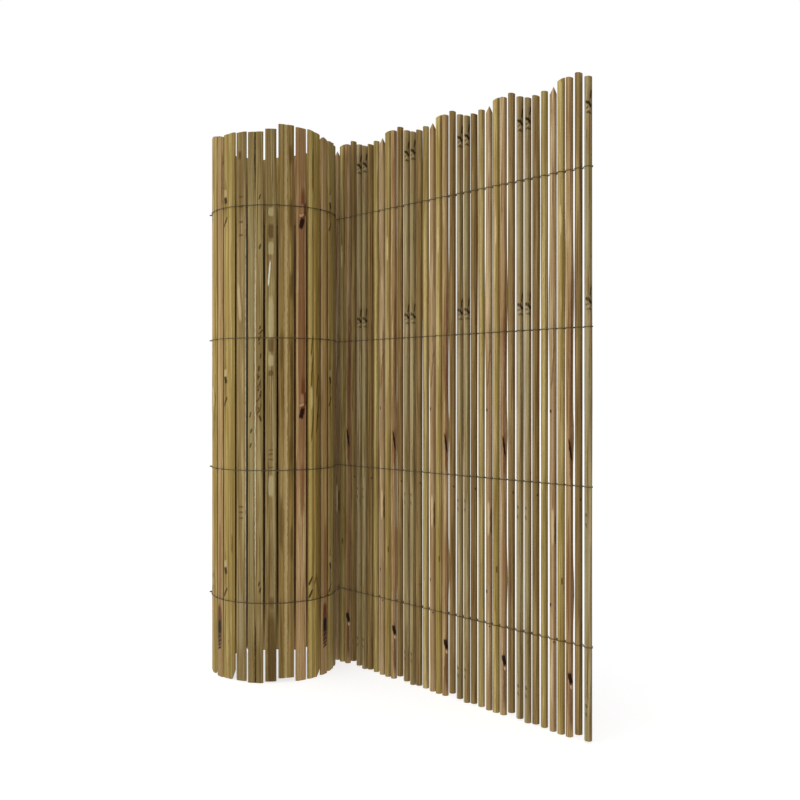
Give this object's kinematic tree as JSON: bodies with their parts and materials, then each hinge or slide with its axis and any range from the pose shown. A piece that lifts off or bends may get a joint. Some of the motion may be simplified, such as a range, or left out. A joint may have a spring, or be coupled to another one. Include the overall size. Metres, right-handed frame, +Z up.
{
  "type": "bamboo cane screening",
  "caption": "Free-standing length of wired bamboo cane screening: a straight panel of round canes whose end curls into a hollow roll of split canes, for garden screening.",
  "frame": {"origin": "on the ground, at the middle of the footprint's box", "axes": "+Z up along the canes; +X along the panel, away from the roll; +Y to the panel's back"},
  "size_m": [0.787, 0.2428, 1.013],
  "materials": {
    "cane_grey_green": "dry grey green bamboo skin, satin",
    "cane_brown": "dry brown bamboo skin, satin",
    "cane_yellow": "dry yellow olive bamboo skin, satin",
    "cane_pink": "peeled pink tan bamboo, satin",
    "split_grey": "split bamboo, grey olive, satin",
    "split_pink": "split bamboo, red pink, satin",
    "split_yellow": "split bamboo, yellow olive, satin",
    "split_tan": "split bamboo, tan, satin",
    "wire": "weathered galvanised wire"
  },
  "bodies": {
    "root": {"panel_cane_01": "cane_grey_green", "panel_cane_02": "cane_brown", "panel_cane_03": "cane_yellow", "panel_cane_04": "cane_pink", "panel_cane_05": "cane_yellow", "panel_cane_06": "cane_pink", "panel_cane_07": "cane_brown", "panel_cane_08": "cane_grey_green", "panel_cane_09": "cane_grey_green", "panel_cane_10": "cane_brown", "panel_cane_11": "cane_yellow", "panel_cane_12": "cane_pink", "panel_cane_13": "cane_yellow", "panel_cane_14": "cane_pink", "panel_cane_15": "cane_brown", "panel_cane_16": "cane_grey_green", "panel_cane_17": "cane_grey_green", "panel_cane_18": "cane_brown", "panel_cane_19": "cane_yellow", "panel_cane_20": "cane_pink", "panel_cane_21": "cane_yellow", "panel_cane_22": "cane_pink", "panel_cane_23": "cane_brown", "panel_cane_24": "cane_grey_green", "panel_cane_25": "cane_grey_green", "panel_cane_26": "cane_brown", "panel_cane_27": "cane_yellow", "panel_cane_28": "cane_pink", "panel_cane_29": "cane_yellow", "panel_cane_30": "cane_pink", "panel_cane_31": "cane_brown", "panel_cane_32": "cane_grey_green", "panel_cane_33": "cane_grey_green", "panel_cane_34": "cane_brown", "panel_cane_35": "cane_yellow", "panel_cane_36": "cane_pink", "panel_cane_37": "cane_yellow", "panel_cane_38": "cane_pink", "panel_cane_39": "cane_brown", "panel_cane_40": "cane_grey_green", "split_canes_01": "split_grey", "split_canes_02": "split_pink", "split_canes_03": "split_yellow", "split_canes_04": "split_tan", "split_canes_05": "split_grey", "split_canes_06": "split_pink", "split_canes_07": "split_yellow", "split_canes_08": "split_tan", "split_canes_09": "split_grey", "split_canes_10": "split_pink", "split_canes_11": "split_yellow", "split_canes_12": "split_tan", "wire_row_1": "wire", "wire_row_2": "wire", "wire_row_3": "wire", "wire_row_4": "wire"}
  },
  "joints": []
}
